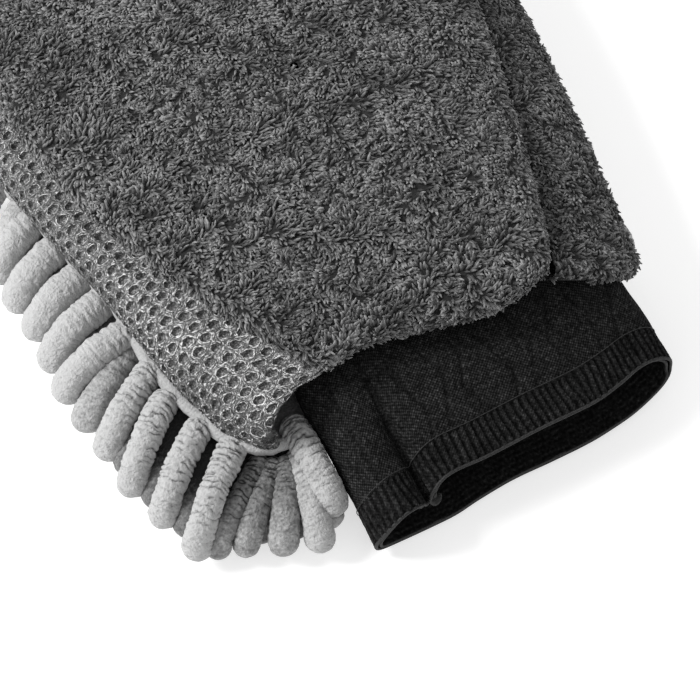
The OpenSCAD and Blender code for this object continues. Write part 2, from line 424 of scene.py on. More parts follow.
def outward(u):
    """Direction straight out from the body's edge."""
    u = np.asarray(u, float)
    far = body_edge(np.minimum(u + 0.002, 0.998))
    near = body_edge(np.maximum(0, np.minimum(u, 0.996) - 0.002))
    d = unit(far - near)
    return np.stack([d[..., 1], -d[..., 0]], -1)


def stations(n):
    """Shares of the way round a side, closer together round the tip."""
    t = np.linspace(0, 1, n)
    past = SHOULDER_U + TIP_SHARE * np.sin(np.pi * (t - 0.5))
    return np.where(t < 0.5, 2 * SHOULDER_U * t, past)


def side_point(u, sign, share, out, z):
    """A place on a side, share of the way from the top panel's edge to the body's."""
    top = top_edge(u, sign)
    low = body_edge(u)
    p = top + share * (low - top) + out * outward(u)
    z = np.broadcast_to(z, p.shape[:-1])
    return np.stack([sign * p[..., 0], p[..., 1], z], -1)


def mesh_foot(us):
    """How far the mesh side's low edge stands outside the body's edge."""
    y = body_edge(us)[:, 1:]
    at = [0, 4, 11, 28, 44, 58, 72, 96, 207]
    return np.interp(y, at, [-2, 1.5, 4.4, 4.6, 3.1, 1.3, 0, -0.2, -0.8])


def side_surface(sign, bulge, inset, foot, square, us, ts):
    """Grid of points on the outside of a side panel, from its top edge to its bottom.

    bulge is how far it swells, inset how far all of it lies in, and foot how far its low
    edge stands out. square is 0 for a plain slope and 1 for a flat top."""
    high = EDGE_Z - 0.25
    low = CLOTH_TOP - 0.3
    p0 = side_point(us, sign, 0, -inset, high)
    p1 = side_point(us, sign, 0.5 + 0.2 * square, bulge - inset, high - 1 + 3 * square)
    out = 2.0 + bulge + 0.4 * foot - inset + 1.2 * square
    p2 = side_point(us, sign, 1, out, low + 9 + 3.5 * square)
    p3 = side_point(us, sign, 1, foot - inset, low)
    corners = (p[:, None] for p in (p0, p1, p2, p3))
    return cubic(*corners, ts[None, :, None])


def roll_front(p, sign, reach, turn, rows=9):
    """Adds rows in front of a side panel's grid that roll in toward the cuff.

    reach says how far the roll stands forward, for each column of the grid."""
    first = p[0]
    ahead = unit(0.4 * unit(p[0] - p[1]) + [0, -0.6, 0])
    inward = np.array([-sign, 0.0, -0.25])
    inward = unit(inward - ahead * (ahead @ inward)[:, None])
    reach = np.asarray(reach)[:, None]
    made = []
    for a in np.linspace(turn, 0, rows)[:-1]:
        made.append(first + reach * (math.sin(a) * ahead + 0.8 * (1 - math.cos(a)) * inward))
    return np.concatenate([np.array(made), p])


# ---- fleece ----

# Locks of pile per square millimetre, their length and their half width
LOCK_DENSITY = 1.6
LOCK_L = 2.65
LOCK_W = 0.47


def curl_direction(p, n, seed):
    """Which way the locks lean: forward and down, turned in slow swirls and small tufts."""
    down = np.array([0.3, -0.6, -0.7])
    down = unit(down - n * (n @ down)[:, None])
    turn = 3.2 * noise(p, 12, seed) + 2.4 * noise(p, 4.4, seed + 5)
    turn = turn[:, None]
    return down * np.cos(turn) + np.cross(n, down) * np.sin(turn)


def locks(p, n, seed, rng, painted_shade):
    """Curled locks of fibre at points p. Gives points, quads and each point's shade.

    A lock is a bar of four square rings that bends over, closed at its thin end."""
    count = len(p)
    lean = curl_direction(p, n, seed)
    turn = rng.normal(0, 0.45, (count, 1))
    side = np.cross(n, lean)
    lean = unit(lean * np.cos(turn) + side * np.sin(turn))
    side = np.cross(n, lean)
    clump = noise(p, 4.5, seed + 9)[:, None]
    patch = noise(p, 16, seed + 12)[:, None]
    size = LOCK_L * rng.uniform(0.7, 1.25, (count, 1)) * (1 + 0.2 * clump)
    bend = rng.uniform(0.7, 1.8, (count, 1))
    hook = rng.normal(0, 0.7, (count, 1))
    wide = LOCK_W * rng.uniform(0.75, 1.3, (count, 1))
    centre = p - 0.6 * n
    rows = []
    spread = (0.9, 1.0, 0.9, 0.35)
    for k, share in enumerate(spread):
        s = k / (len(spread) - 1)
        a = 0.25 + bend * s
        h = hook * (s - 0.3)
        way = unit(n * np.cos(a) + np.sin(a) * (lean * np.cos(h) + side * np.sin(h)))
        if k:
            centre = centre + way * size / (len(spread) - 1)
        across = unit(np.cross(way, n + 0.01 * lean))
        over = np.cross(across, way)
        for q in range(4):
            angle = math.pi * q / 2 + 0.5
            ring = math.cos(angle) * across + 0.75 * math.sin(angle) * over
            rows.append(centre + share * wide * ring)
    points = np.stack(rows, 1)
    tone = rng.normal(0, 0.1, (count, 1)) + 0.12 * clump + 0.06 * patch
    # Painted shade: each lock darkens toward its root, down between the locks.
    shades = np.repeat(np.linspace(0, 1, len(spread)), 4) * 0.72 + 0.02 + tone + painted_shade
    last = 4 * (len(spread) - 1)
    quads = grid_faces(len(spread), 4, True)[:, [3, 2, 1, 0]]
    quads = np.concatenate([quads, [[last + 3, last + 2, last + 1, last]]])
    return points.reshape(-1, 3), repeated(quads, count, last + 4), shades.ravel()


def fleece_cover(name, grid, closed, seed, finish, parts, painted_shade):
    """A fleece cloth: its base and its locks, in as many pieces as parts says."""
    rng = np.random.default_rng(seed)
    made = []
    p, n = scatter(grid, LOCK_DENSITY, rng, closed)
    order = rng.permutation(len(p))
    for k in range(parts):
        chosen = order[k::parts]
        points, faces, shade = locks(p[chosen], n[chosen], seed, rng, painted_shade)
        made.append(piece(f"{name}_pile_{k + 1}", points, faces, finish, {"shade": shade}))
    # Painted shade: the cloth, which shows only in the gaps between locks, is as dark as the locks'
    # shaded roots.
    base = bundle(f"{name}_cloth", finish, [(grid, 0.08)], closed)
    for obj in [base, *made]:
        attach(obj, "mitt_body")
    return base, made


# The top panel's front edge, from its left corner to its right one
TOP_FRONT = [(-42, 0), (-37, 0.2), (-28, 1.9), (-18, -0.1), (-8, -3.8), (0, -6),
             (12, -7.6), (24, -5.8), (32, -3.4)]
# Radius of the top panel's rounded edge
ROLL_R = 4.3


def top_outline(n):
    """The top panel's closed outline as n evenly spaced points."""
    us = stations(60)
    us = us[us > 0.02]
    right = top_edge(us, 1)
    left = top_edge(us[::-1], -1) * [-1, 1]
    ring, _ = even_loop(np.concatenate([right, left, TOP_FRONT]), n)
    for _ in range(5):
        ring = (np.roll(ring, 1, 0) + 2 * ring + np.roll(ring, -1, 0)) / 4
    return ring


def top_grid():
    """Grid over the top panel: rows from the middle out, over the edge and under it."""
    ring = top_outline(280)
    d = np.roll(ring, -1, 0) - np.roll(ring, 1, 0)
    out = unit(np.stack([d[:, 1], -d[:, 0]], -1))
    inner = ring - 5.6 * out
    mid = np.array([0, 92])
    z_top = EDGE_Z + PANEL_T - PILE_LIFT
    rows = []
    for r in np.linspace(0.02, 1, 44):
        rows.append(level(mid + r * (inner - mid), z_top + CROWN * (1 - r ** 2.4)))
    start = math.radians(72)
    for a in np.linspace(start, math.radians(-90), 12)[1:]:
        xy = inner + ROLL_R * (math.cos(a) - math.cos(start)) * out
        rows.append(level(xy, z_top - ROLL_R * math.sin(start) + ROLL_R * math.sin(a)))
    rows.append(rows[-1] - level(6 * out, 0))
    grid = np.array(rows)
    bump = noise(grid, 16, 3) * 0.8 + noise(grid, 6, 4) * 0.5 + noise(grid, 3, 5) * 0.3
    calm = np.linspace(1, 0.5, len(grid))[:, None]
    grid[..., 2] += bump * calm
    return grid[:, ::-1]


def build_top(finish):
    """The back of the mitt: one fleece panel with a rounded edge."""
    grid = top_grid()
    base, pile = fleece_cover("top_panel", grid, True, 11, finish, 4, 0.0)
    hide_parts("top_panel")


def build_fleece_side(finish):
    """The strip of fleece at the +X side, with its front end rolled in."""
    us = stations(150)
    ts = np.linspace(0, 1, 24)
    grid = side_surface(1, 3.6, PILE_LIFT - 0.6, -2.5, 0, us, ts)
    grid = np.concatenate([grid, grid[-1:] - [1.2, 0, 0]])
    reach = 3.0 + 4.5 * np.sin(np.pi * ts) ** 0.8
    grid = roll_front(grid, 1, reach, 1.9)
    # The side panel gets a little painted shade, as it lies in the shade of the top panel.
    base, pile = fleece_cover("fleece_side_panel", grid, False, 23, finish, 1, -0.06)
    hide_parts("fleece_side_panel")


# ---- spacer mesh ----

# Distance between the holes of a column, and between columns
HOLE_PITCH = 4.7
COLUMN_PITCH = 4.5
# Half size of a hole along the strip and across it
HOLE_V = 1.42
HOLE_W = 1.8
# Radius of a filament, its sides and the points round its loop
FILAMENT_R = 0.105
FILAMENT_SIDES = 3
FILAMENT_TURN = 24


def mesh_sheet(us, ts):
    """The mesh side's outer surface, with its front end rolled in and its top tucked under.

    Also gives each place's distance along the strip and across it, in millimetres."""
    grid = side_surface(-1, 3.0, 0.0, mesh_foot(us), 1, us, ts)
    under = np.array([4.5, 0.0, 2.2]) * np.linspace(1, 0, 9)[:-1, None]
    grid = np.hstack([grid[:, :1] + under, grid])
    share = np.clip(np.linspace(-0.25, 1, grid.shape[1]), 0, 1)
    grid = roll_front(grid, -1, 0.6 + 6.0 * share ** 0.8, 2.3, 30)
    grid = np.concatenate([grid, grid[-1:] + [1.5, -0.6, 0], grid[-1:] + [3.0, -1.6, 0]])
    along = distances(grid[:, grid.shape[1] // 2])
    wide = np.linalg.norm(np.diff(grid, axis=1), axis=2)
    across = np.hstack([np.zeros((len(grid), 1)), np.cumsum(wide, 1)])
    across -= across[:, -1:]
    return grid, np.broadcast_to(along[:, None], across.shape), across


def hole_distance(v, w):
    """Distance from the nearest hole's middle, where 1 is the hole's edge."""
    nearest = np.full(v.shape, np.inf)
    for beside in (-1, 0, 1):
        column = np.floor(w / COLUMN_PITCH) + beside
        v_in = (v + HOLE_PITCH / 2 * (column % 2)) % HOLE_PITCH - HOLE_PITCH / 2
        w_in = w - (column + 0.5) * COLUMN_PITCH
        nearest = np.minimum(nearest, np.hypot(w_in / HOLE_W, v_in / HOLE_V))
    return nearest


def place_on(grid, along, across, v, w):
    """Points of a grid surface at distances v along it and w across it."""
    mid = along[:, 0]
    row = np.clip(np.searchsorted(mid, v) - 1, 0, len(mid) - 2)
    fr = np.clip((v - mid[row]) / np.maximum(mid[row + 1] - mid[row], 1e-6), 0, 1)
    col = np.array([np.searchsorted(across[i], x) - 1 for i, x in zip(row, w)])
    col = np.clip(col, 0, across.shape[1] - 2)
    fc = np.clip((w - across[row, col]) / (across[row, col + 1] - across[row, col]), 0, 1)
    return in_cell(grid, row, col, fc[:, None], fr[:, None])


def build_mesh_side(face_finish, filament):
    """The strip of spacer mesh at the -X side: its face with the holes, and its filaments."""
    us = np.concatenate([np.linspace(0.016, SHOULDER_U, 330), stations(240)[121:]])
    sheet = mesh_sheet(us, np.linspace(0, 1, 84))
    grid, v, w = (x[:, ::-1] for x in sheet)
    n = grid_normals(grid)
    d = hole_distance(v, w)
    hole = 1 - step(d, 0.82, 1.08)
    ridge = step(d, 1.0, 1.35)
    loops = noise(grid, 0.7, 8)
    p = grid - n * (1.0 * hole - 0.25 * ridge + 0.15 * loops)[..., None]
    weave = np.sin(v * 2 * np.pi / 1.1) * np.sin(w * 2 * np.pi / 1.1)
    # Painted shade: the low part of the strip, which faces away from the light, and the rolled
    # front end are darkened.
    low = step(w, -20, -5)
    painted_roll_shade = step(-v, -5.5, -1.5)
    shade = 0.44 + 0.2 * loops * (1 - hole) + 0.08 * hole * weave + 0.04 * ridge
    shade += 0.06 * hole - 0.05 * low - 0.05 * painted_roll_shade
    body = bundle("mesh_side_face", face_finish, [(p, shade)], False)
    rings, quads, shades = filament_rings(*sheet)
    wires = piece("mesh_side_filaments", rings, quads, filament, {"shade": shades})
    for obj in (body, wires):
        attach(obj, "mitt_body")
    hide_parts("mesh_side_panel")


def filament_tube(grid, n, along, across, v, w, rng):
    """One closed filament laid on the mesh through distances v along it and w across it."""
    a = turns(FILAMENT_TURN)
    lift = 0.2 + 0.2 * np.sin(a * rng.integers(4, 9) + rng.uniform(0, 6))
    up = place_on(n, along, across, v, w)
    centre = place_on(grid, along, across, v, w) + up * lift[:, None]
    way = unit(np.roll(centre, -1, 0) - np.roll(centre, 1, 0))
    side = np.cross(way, up)
    tube = []
    for q in range(FILAMENT_SIDES):
        b = 2 * np.pi * q / FILAMENT_SIDES
        tube.append(centre + FILAMENT_R * (math.cos(b) * side + math.sin(b) * up))
    return tube


def filament_glow(v, w, size, rng):
    """How bright a filament is round its loop: painted glints make bright and dark dashes round it.
    It fades low on the mesh, as painted shade, and far back.
    """
    # Painted glints: bright and dark dashes round the loop stand in for highlights.
    painted_glint = np.sin(turns(FILAMENT_TURN) * rng.integers(3, 9) + rng.uniform(0, 6))
    far = step(v, 40, 90)
    calm = 1 - 0.3 * far
    glow = 0.45 + rng.uniform(-0.45, 0.45) * calm + 0.75 * calm * painted_glint
    # Painted shade: filaments low on the mesh are darker.
    glow -= 0.4 * step(w, -20, -6) + 0.1 * far
    return glow + 0.5 * (1.2 - size)


def filament_rings(grid, along, across):
    """Thin filaments laid round each hole, several to a hole."""
    rng = np.random.default_rng(5)
    n = -grid_normals(grid)
    a = turns(FILAMENT_TURN)
    length = along[-1, 0]
    foot = across[5, 0] + 0.1
    tubes = []
    shades = []
    columns = int(-across[:, 0].min() / COLUMN_PITCH) + 1
    for c in range(-columns, 0):
        middles = (np.arange(int(length / HOLE_PITCH) + 2) + 0.5 - 0.5 * (c % 2)) * HOLE_PITCH
        w = (c + 0.5) * COLUMN_PITCH
        for size in (1.02, 1.1, 1.19, 1.28, 1.37, 1.46):
            for v in middles:
                squash = rng.uniform(0.97, 1.03)
                wobble = 1 + 0.04 * np.sin(a * rng.integers(5, 11) + rng.uniform(0, 6))
                round_v = v + HOLE_V * size * squash * wobble * np.sin(a)
                round_w = w + HOLE_W * size / squash * wobble * np.cos(a)
                if round_v.min() < 0.3 or round_v.max() > length - 0.3:
                    continue
                if round_w.max() > -0.05 or round_w.min() < foot:
                    continue
                tubes += filament_tube(grid, n, along, across, round_v, round_w, rng)
                shades.append(np.tile(filament_glow(v, w, size, rng), FILAMENT_SIDES))
    each = FILAMENT_SIDES * FILAMENT_TURN
    quads = grid_faces(FILAMENT_SIDES + 1, FILAMENT_TURN, True) % each
    return np.concatenate(tubes), repeated(quads, len(shades), each), np.concatenate(shades)


# ---- chenille ----


def bow(start, end, sag_start, sag_end, n):
    """n points on a cubic curve from start to end, with its two handles given."""
    t = np.linspace(0, 1, n)[:, None]
    return cubic(start, start + sag_start, end + sag_end, end, t)


def strand_path(root, tip, n):
    """Points from a root in the base cloth out past its edge and down to the floor."""
    root, tip = np.array([root, tip], float)
    ahead = (tip - root) * [1, 1, 0]
    drop = UP * (root[2] - tip[2])
    return bow(root, tip, ahead * 0.42 + UP * 3.0, -ahead * 0.04 + drop, n)


def creases(at, spot, spacing, share, seed):
    """Broken creases across a strand, and the swelling of the folds between them.

    at are distances along the strand and spot its points; share says how many show."""
    fold = at[:, None] / spacing + 0.55 * noise(spot, 3.6, seed) + 0.2 * noise(spot, 1.3, seed + 1)
    place = fold - np.floor(fold) - 0.5
    kept = np.clip(share + 1.8 * noise(spot, 2.6, seed + 2), 0, 1)
    return np.exp(-((place * spacing / 0.22) ** 2)) * kept, -np.cos(2 * np.pi * place)


def strand_skin(path, radius, sides, seed, wrinkled, tone):
    """A plump strand along a path, wrinkled near its root, with a blunt end.

    tone makes it lighter or darker, most of all near the root; the strongly negative tones are
    painted shade on strands that lie low."""
    at = distances(path)
    left = at[-1] - at
    blunt = 0.8 * radius
    end = np.clip(1 - (((blunt - left) / blunt).clip(0)) ** 2.6, 0.001, 1) ** 0.45
    first = np.clip(1 - ((3.0 - at) / 3.0).clip(0) ** 2, 0.03, 1) ** 0.5
    ring = circles(unit(np.gradient(path, axis=0)), UP + [0.01, 0.02, 0], sides)
    width = 0.94 + 0.1 * step(left, 12, 2)
    r = radius * (end * first * width)[:, None] * np.ones((1, sides))
    skin = path[:, None] + ring * r[..., None]
    spot = skin + [seed * 37.0, seed * 17.0, 0]
    lumps = noise(spot, 5.0, 31)
    knobs = noise(spot, 2.1, 37)
    grain = noise(spot, 1.1, 32)
    nap = noise(spot, 0.6, 36)
    fade = (0.12 + 0.88 * np.exp(-((at / (0.6 * at[-1])) ** 2)))[:, None] * wrinkled
    crack, swell = creases(at, spot, 2.2, 0.5, 33)
    small, _ = creases(at, spot, 1.25, 0.05, 43)
    crack = np.maximum(crack, 0.75 * small) * fade * end[:, None]
    size = 1 + 0.05 * lumps + 0.035 * knobs + 0.035 * grain + 0.03 * nap
    size += 0.06 * swell * fade - 0.17 * crack
    r = r * size
    # Painted shade: creases are darkened, and so is the underside, most near the root; negative
    # tones also darken most near the root.
    low = np.clip(-ring[..., 2], 0, 1)
    inner = (1 - step(at, 0.35 * at[-1], 0.9 * at[-1]))[:, None]
    shade = 0.54 + 0.07 * grain + 0.1 * nap + 0.04 * knobs - 0.7 * crack
    shade = shade - (0.15 + 0.35 * inner) * low + tone * (0.5 + 0.5 * inner)
    return path[:, None] + ring * r[..., None], shade


# Strands that show at the mesh side, from the cuff on: root and its height, tip and its
# height, radius, tone and how wrinkled
# Strongly negative tones here are painted shade on the strands that lie low.
SHOWN = [
    ((-52.6, 5), 18.5, (-53.4, -22.4), 9.6, 4.6, -0.1, 0.8),
    ((-53.2, -1.5), 13, (-61.4, -28.6), 4.8, 4.3, -0.12, 0.4),
    ((-56.5, -2.5), 11, (-71.2, -24.2), 4.6, 4.5, -0.4, 0.4),
    ((-60, -1), 11, (-80.8, -19.2), 4.4, 3.9, -0.45, 0.7),
    ((-63, 1.5), 11.5, (-88.2, -15.6), 4.4, 3.6, -0.45, 0.8),
    ((-68.3, 7.8), 16.8, (-93, -12.8), 5, 4.5, 0, 1),
    ((-73.8, 18), 16.8, (-96.2, 1.2), 5, 4.5, 0, 1),
    ((-77.8, 30.8), 16.8, (-99.2, 14.8), 5, 4.6, 0, 0.9),
    ((-76.4, 42), 16.4, (-99.4, 28.8), 5, 4.7, 0, 0.7),
    ((-75.2, 56.4), 16, (-100.8, 52.6), 5, 5.2, 0.05, 0.5),
    ((-76.2, 70), 16, (-99.4, 64.4), 5, 5.3, 0.05, 0.35),
    ((-77.2, 81.6), 16, (-98.2, 76.5), 5, 5.4, 0.05, 0.25),
    ((-78.7, 94.1), 16, (-98.6, 88.5), 5, 5.4, 0.05, 0.25),
    ((-80.7, 106.6), 16, (-98.6, 100.5), 5, 5.4, 0.05, 0.25),
]
# Strands that lie lower, in the gaps between those, most of them darkened by painted shade through
# their tones
UNDER = [
    ((-65.5, 20), 9.5, (-92.4, -5.4), 4.4, 4.6, -0.85, 0.4),
    ((-70.5, 31), 9.5, (-95.6, 7.4), 4.4, 4.6, -0.85, 0.4),
    ((-73, 43.5), 9.5, (-97.4, 21), 4.4, 4.6, -0.85, 0.4),
    ((-74, 54.5), 12, (-101, 40.6), 4.8, 4.9, -0.2, 0.4),
    ((-74, 70), 9.5, (-97, 58), 4.4, 4.5, -0.5, 0.3),
    ((-75, 83), 9.5, (-96, 70), 4.4, 4.5, -0.5, 0.3),
    ((-76, 95), 9.5, (-95.5, 82), 4.4, 4.5, -0.5, 0.3),
    ((-77, 107), 9.5, (-95.5, 94), 4.4, 4.5, -0.5, 0.3),
    ((-50.5, 1), 8, (-55.2, -24), 4.4, 4.2, -0.2, 0.3),
    ((-60, 8), 7.5, (-84.5, -12), 4.2, 4.4, -0.8, 0.3),
    ((-56, 6), 7, (-75.5, -18), 4, 4.2, -0.8, 0.2),
    ((-52, 6), 7, (-65.5, -22), 4, 4.2, -0.8, 0.2),
    ((-66, 14), 6.5, (-88, -8), 4, 4.4, -0.7, 0.2),
]


def edge_line():
    """Shares u round a side, the outermost roots there and their distances along."""
    us = np.linspace(0, 0.9995, 400)
    line = body_edge(us) - 4.25 * outward(us)
    return us, line, distances(line)


def edge_strands(sign, low):
    """The outermost strands of a side from a distance along the edge on."""
    us, line, at = edge_line()
    rng = np.random.default_rng(7 + sign)
    made = []
    for s in np.arange(15, at[-1] - (4 if sign > 0 else 8), STRAND_PITCH):
        if s < low:
            continue
        sway, more = rng.uniform(-1, 1, 2)
        u = float(np.interp(s, at, us))
        root = point_at(line, at, s)
        out = outward(u)
        swept = 32 * min(1, 2 * (1 - u)) if sign < 0 else 35 * (1 - u)
        reach = 34 - 26 * u if sign < 0 else 3 + 6 * u * u
        a = math.atan2(out[1], out[0]) - math.radians(swept + 9 * sway)
        tip = root + (reach + 1.2 * more) * np.array([math.cos(a), math.sin(a)])
        root = root - 3.0 * out * (sign > 0)
        root = (sign * root[0], root[1])
        tip = (sign * tip[0], tip[1])
        made.append((root, 15.5, tip, 5.2, 5.3 + 0.3 * more, 0.03 * sway, 0.5))
    return made


def build_strands(finish, name, strands, nodes, rings, sides, seed):
    """One piece that holds several strands and stands for the given CAD nodes."""
    skins = []
    for k, (root, root_z, tip, tip_z, radius, tone, wrinkled) in enumerate(strands):
        path = strand_path((*root, root_z), (*tip, tip_z), rings)
        skins.append(strand_skin(path, radius, sides, seed + k, wrinkled, tone))
    obj = bundle(name, finish, skins)
    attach(obj, "mitt_body")
    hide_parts(*nodes)
    return obj


def inner_row(i):
    """Strands of one inner row, which all lean the same way."""
    _, line, _ = edge_line()
    x = (i - 6) * STRAND_PITCH
    made = []
    for y in np.arange(13 + (i % 2) * STRAND_PITCH / 2, BODY_L, STRAND_PITCH):
        half = np.interp(y, line[:, 1], line[:, 0])
        room = np.min(np.hypot(line[:, 0] - abs(x), line[:, 1] - y))
        if abs(x) > half or y > line[-1, 1] or room < 11.6:
            continue
        if abs(x) < 53 and y < 18.2:
            continue
        made.append(((x, y), 15.0, (x - 5, y - 4.5), 5.0, 4.9, -0.1, 0.4))
    return made


def between_strands():
    """Strands in the room between the inner rows and the outermost strands."""
    us, line, at = edge_line()
    rows = np.array([root for i in range(1, 12) for root, *_ in inner_row(i)])
    made = []
    for sign in (-1, 1):
        for s in np.arange(14, at[-1], 11.0):
            u = float(np.interp(s, at, us))
            root = (point_at(line, at, s) - 10.5 * outward(u)) * [sign, 1]
            placed = np.array([r for r, *_ in made]).reshape(-1, 2)
            room = np.linalg.norm(np.concatenate([rows, placed]) - root, axis=1).min()
            if room < 7.5 or root[1] < 16 and abs(root[0]) < 58:
                continue
            tip = (root[0] - 3.5, root[1] - 4.0)
            made.append((tuple(root), 15.0, tip, 5.0, 4.8, -0.1, 0.4))
    return made


def build_chenille(finish):
    """All strands: fine ones where they show, plainer ones at the far edge and inside."""
    far = edge_strands(-1, 115)
    far.append(((0.5, 201.5), 15.5, (-0.5, 209.5), 5.2, 5.2, 0.0, 0.5))
    near = edge_strands(1, 0)
    near.append(((54.5, 7.0), 15.0, (54.0, 2.5), 5.0, 4.6, 0.0, 0.5))
    groups = [
        ("chenille_front", SHOWN, [], 220, 48, 1),
        ("chenille_front_under", UNDER, [], 110, 28, 41),
        ("chenille_between", between_strands(), [], 36, 20, 400),
        ("chenille_mesh_side", far, ["chenille_edge_mesh_side"], 60, 24, 61),
        ("chenille_fleece_side", near, ["chenille_edge_fleece_side"], 50, 24, 91),
    ]
    for i in range(1, 12):
        row = f"chenille_row_{i:02d}"
        groups.append((f"chenille_inner_{i:02d}", inner_row(i), [row], 36, 20, 100 + 20 * i))
    return [build_strands(finish, *group) for group in groups]


# ---- base cloth ----


def cloth_cord(edge, us, sign):
    """Grid and shade of the rolled edge of the base cloth, along one side.

    It shows below the mesh near the front and draws back under it farther on."""
    showing = 0.9 - 2.2 * step(edge[:, 1:], 42, 60)
    line = (edge + showing * outward(us))[us > 0.012]
    front = np.array([[49.0, 0.8], [52.5, -0.8], [56.5, -1.6], [60.5, -1.2]])
    line = np.concatenate([front, line])
    for _ in range(2):
        line[1:-1] = (line[:-2] + 2 * line[1:-1] + line[2:]) / 4
    path = level(line, CLOTH_Z) * [sign, 1, 1]
    path += 0.6 * np.stack([noise(path, 7, 52 + k) for k in range(3)], -1)
    ring = circles(unit(np.gradient(path, axis=0)), UP, 14)
    path = path[:, None]
    r = 2.0 + 0.4 * noise(path + ring * 2, 3, 55)
    r += 0.5 * noise(path + ring * 2, 1.4, 57)
    return path + ring * r[..., None], 0.5 + 0.1 * noise(path + ring, 1, 56)


def build_base_cloth(finish):
    """The cloth that holds the chenille, with a soft rolled edge."""
    us = np.concatenate([np.linspace(0, SHOULDER_U, 80), stations(120)[61:]])
    cloth = []
    cords = []
    for sign in (-1, 1):
        foot = mesh_foot(us) if sign < 0 else -2.5
        edge = body_edge(us) + foot * outward(us)
        grid = np.array([level(edge * [t, 1], CLOTH_Z) for t in np.linspace(0, 1, 26)])
        grid *= [sign, 1, 1]
        grid[..., 2] += 0.25 * noise(grid, 5, 51)
        cloth.append((grid[::sign], 0.2))
        cords.append(cloth_cord(edge, us, sign))
    obj = bundle("base_cloth", finish, cloth, False)
    edge = bundle("base_cloth_edge", finish, cords)
    for o in (obj, edge):
        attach(o, "mitt_body")
    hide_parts("chenille_base_cloth")


# ---- lining ----

# Front end, length and height of the hand pocket
POCKET_Y = 13.6
POCKET_L = BODY_L - 22
POCKET_Z = 28.0
CUFF_HALF_W = 50.0


def pocket_half_width(y):
    """Half width of the hand pocket at a distance from the front edge."""
    past = np.maximum(0, y - 115) / (POCKET_L - 115)
    wide = np.minimum(FRONT_HALF_W - 14 + 0.2 * y, CUFF_HALF_W - 4 + 0.55 * (y - POCKET_Y))
    return wide * np.maximum(0, 1 - past ** TIP_POWER) ** (1 / TIP_POWER)


def build_lining(name, finish, rise, power, seed):
    """One side of the hand pocket: smooth cloth with soft wrinkles, seen from inside."""
    y = POCKET_Y + (POCKET_L - POCKET_Y) * np.sin(np.linspace(0, np.pi / 2, 90)) * 0.997
    y = np.concatenate([[8.6, 11.0], y])[:, None]
    share = -np.cos(np.linspace(0, np.pi, 60))[None]
    wide = pocket_half_width(np.maximum(y, POCKET_Y))
    z = POCKET_Z + rise * np.minimum(1, wide / 25) * (1 - np.abs(share) ** power)
    grid = np.stack(np.broadcast_arrays(share * wide, y, z), -1).copy()
    calm = 1 - np.abs(share) ** 4
    folds = noise(grid * [1, 0.35, 1], 9, seed) * 0.55
    folds += noise(grid * [1, 0.5, 1], 4, seed + 1) * 0.25
    grid[..., 2] += calm * folds
    if rise < 0:
        grid = grid[:, ::-1]
    made = piece(name + "_cloth", grid[::-1], grid_faces(*grid.shape[:2]), finish)
    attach(made, "mitt_body")
    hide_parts(name)


# ---- cuff ----

# The rim as a loop: right end, over the top to the left end, and back along the bottom
RIM = [
    (56.6, -31, 9.5), (55.4, -31.4, 15), (51, -31.2, 18.6), (44, -31.8, 20.6),
    (34.7, -34.4, 21.9), (24.3, -35.9, 22.2), (7, -35.4, 22.2), (-10, -35.3, 21.8),
    (-20.8, -34.6, 21.6), (-26, -35, 20.2), (-29.2, -35.8, 16.8), (-29.8, -35.8, 14.2),
    (-31.2, -36.6, 14.4), (-33.2, -37.6, 17.6), (-38.5, -38.6, 19.6), (-43.5, -39, 17.4),
    (-47.2, -38.6, 12.6), (-48.6, -37.6, 7.4), (-46.8, -36.9, 3), (-39, -36.9, 1.6),
    (-29, -37.4, 1.6), (-21.5, -37.5, 1.6), (-13, -36.6, 1.6), (-1, -36, 1.6),
    (12, -36.6, 1.6), (24.6, -36.9, 1.7), (34, -36.3, 1.9), (42, -35.3, 2.3),
    (51, -33.3, 3.8), (55.4, -31.9, 6.2),
]
# The cuff's loop at y = 8, where it enters the body, from the same place the same way round
ROOT = [
    (54, 26), (52, 32), (44, 36), (20, 37.6), (0, 37.8), (-20, 37.6), (-30, 36.8), (-40, 35),
    (-47.6, 29), (-47.6, 22), (-40, 18.6), (-20, 17.4), (0, 17.2), (20, 17.4), (44, 18.8),
    (52, 21.6),
]
# Width of the hem, from the rim to its line of stitches
HEM_W = 10.8
# Thickness of the cuff's two plies together
CUFF_T = 2.4
# The cuff's lengthwise folds: place across, sideways swing, bends and depth
FOLDS = [
    (-41, 0.8, 0.5, 0.4), (-31.2, 0.4, 0.2, 0.8), (-22, 2.4, 1.2, 0.5),
    (-13, 2.6, 1.4, 0.4), (-4, 2.8, 1.5, 0.4), (6, 2.8, 1.3, 0.5), (15, 2.4, 1.6, 0.4),
    (25, 2.8, 1.4, 0.5), (35, 2.4, 1.3, 0.4), (45, 2.0, 1.3, 0.5),
]


def loop(corners, n):
    """n evenly spaced points on a smooth closed loop through corners, and its length."""
    p = np.array(corners, float)
    t = np.linspace(0, 1, 24, endpoint=False)[:, None, None]
    a, b, c, d = (np.roll(p, k, 0)[None] for k in (1, 0, -1, -2))
    made = 0.5 * (2 * b + (c - a) * t + (2 * a - 5 * b + 4 * c - d) * t ** 2
                  + (3 * b - a - 3 * c + d) * t ** 3)
    return even_loop(made.transpose(1, 0, 2).reshape(-1, 3), n)


